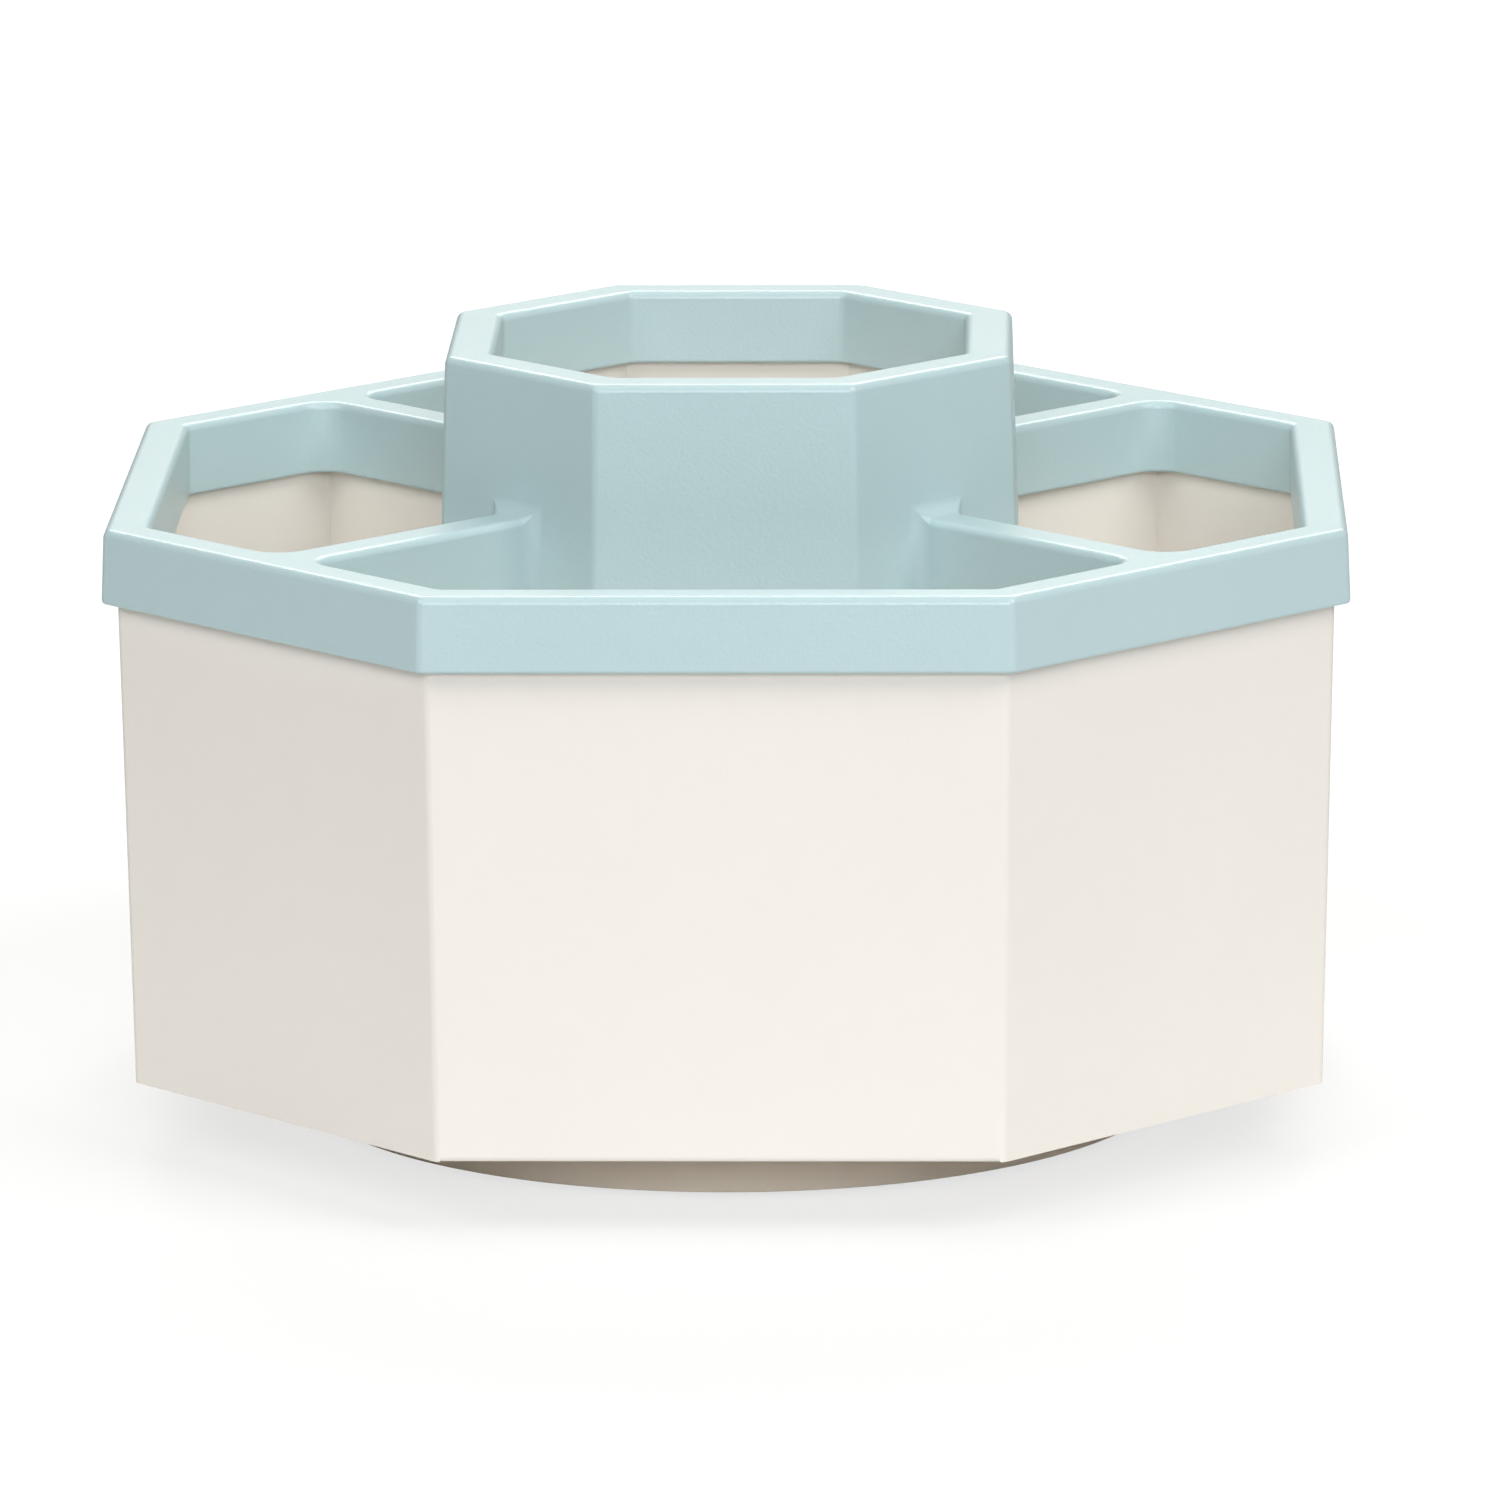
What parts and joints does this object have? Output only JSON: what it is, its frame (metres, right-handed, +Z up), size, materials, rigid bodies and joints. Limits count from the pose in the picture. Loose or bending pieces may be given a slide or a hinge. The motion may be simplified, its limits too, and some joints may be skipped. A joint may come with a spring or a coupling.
{
  "type": "rotating pen holder",
  "caption": "Octagonal desk pen holder with outer pockets around a raised centre tube, a channel-shaped top frame and a ball-bearing turntable base.",
  "frame": {"origin": "on the table, on the axis that the holder turns about", "axes": "+Z up along the turning axis; +X and +Y each face one long side of the octagon, and -Y is the side that faces the camera in the picture"},
  "size_m": [0.165, 0.165, 0.1049],
  "materials": {
    "cream_plastic": "satin moulded plastic, warm off-white",
    "mint_plastic": "satin moulded plastic, pale blue-green",
    "base_plastic": "plain moulded plastic, beige",
    "cage_plastic": "natural acetal",
    "steel": "bright zinc-plated or polished",
    "pad_rubber": "matt foam rubber"
  },
  "bodies": {
    "base": {"base_disc": "base_plastic", "foot_pad_1": "pad_rubber", "foot_pad_2": "pad_rubber", "foot_pad_3": "pad_rubber", "foot_pad_4": "pad_rubber"},
    "cage": {"ball_cage": "cage_plastic", "ball_01": "steel", "ball_02": "steel", "ball_03": "steel", "ball_04": "steel", "ball_05": "steel", "ball_06": "steel", "ball_07": "steel", "ball_08": "steel", "ball_09": "steel", "ball_10": "steel", "ball_11": "steel", "ball_12": "steel"},
    "holder": {"tub": "cream_plastic", "top_frame": "mint_plastic", "turntable_plate": "base_plastic", "thrust_washer": "steel", "pivot_screw": "steel", "plate_screw_1": "steel", "plate_screw_2": "steel", "plate_screw_3": "steel", "plate_screw_4": "steel"}
  },
  "joints": [
    {"name": "holder_spin", "type": "hinge", "parent": "base", "child": "holder", "pos_m": [0, 0, 0.0104], "axis": [0, 0, 1], "continuous": true},
    {"name": "cage_spin", "type": "hinge", "parent": "base", "child": "cage", "pos_m": [0, 0, 0.0104], "axis": [0, 0, 1], "continuous": true}
  ],
  "couplings": [
    {"joint": "cage_spin", "follows": "holder_spin", "ratio": 0.5}
  ]
}
